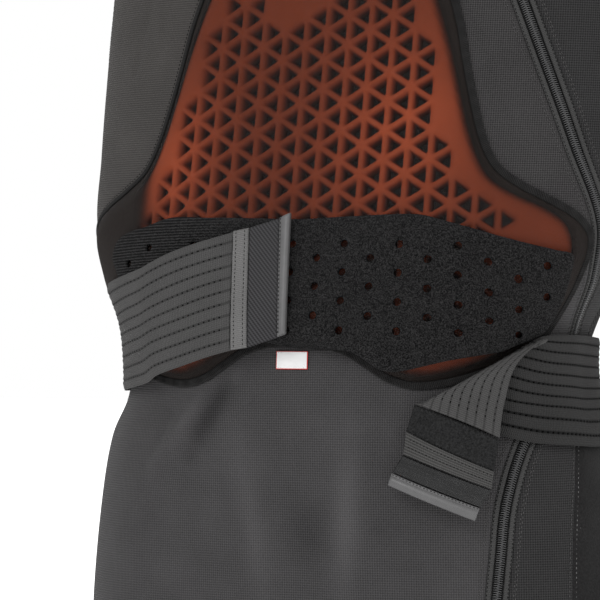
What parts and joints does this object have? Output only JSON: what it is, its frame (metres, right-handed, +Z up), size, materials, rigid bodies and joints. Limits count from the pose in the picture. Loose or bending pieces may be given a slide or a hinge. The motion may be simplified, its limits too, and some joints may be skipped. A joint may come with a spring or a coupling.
{
  "type": "protective vest",
  "caption": "Sleeveless sports vest with a pierced foam chest plate in a front pocket, a loop-pile band, elastic waist straps and an off-centre zip.",
  "frame": {"origin": "on the body's centre line at the height of the top of the shoulders, where the vest hangs on the wearer", "axes": "+X to the wearer's left, -Y to the front, +Z up"},
  "size_m": [0.3685, 0.2765, 0.6624],
  "materials": {
    "knit": "dark grey mesh knit with a soft sheen",
    "rib_knit": "dark grey knit with fine horizontal ribs",
    "smooth_cloth": "smooth dark stretch cloth",
    "foam_cloth": "dark embossed foam laminate",
    "lining": "dark grey lining cloth",
    "foam_plate": "dull orange-red foam",
    "sheer_cover": "sheer dark stretch cloth",
    "seam_thread": "dark ribbed overlock thread",
    "loop_pile": "black fuzzy loop pile, perforated",
    "elastic": "grey ribbed elastic webbing",
    "webbing": "grey flat webbing",
    "tape": "grey binding tape",
    "twill": "dark twill",
    "gloss_tab": "glossy dark film",
    "hook_patch": "dark hook pile",
    "bar": "grey rounded plastic",
    "zip_coil": "dark coil teeth",
    "zip_tape": "light grey woven tape",
    "slider": "dark painted metal",
    "label": "off-white woven label, blank"
  },
  "bodies": {
    "root": {"front_yoke": "knit", "right_chest_panel": "rib_knit", "left_chest_panel": "smooth_cloth", "lower_front_panel": "knit", "side_front_panel": "smooth_cloth", "side_panel_left": "foam_cloth", "side_panel_right": "rib_knit", "back_panel": "knit", "pocket_lining": "lining", "chest_plate": "foam_plate", "pocket_cover": "sheer_cover", "pocket_seam": "seam_thread", "loop_band": "loop_pile", "strap_right": "elastic", "strap_right_bar": "bar", "strap_right_tab": "twill", "strap_right_tape": "tape", "strap_left": "elastic", "strap_left_hook_patch": "hook_patch", "strap_left_webbing": "webbing", "strap_left_tab": "gloss_tab", "strap_left_bar": "bar", "strap_anchor_tape": "tape", "zip_chain": "zip_coil", "zip_tape_inner": "zip_tape", "zip_tape_outer": "zip_tape", "zip_slider": "slider", "centre_label": "label", "neck_binding": "seam_thread", "armhole_binding_left": "seam_thread", "armhole_binding_right": "seam_thread", "hem_binding": "seam_thread"}
  },
  "joints": []
}
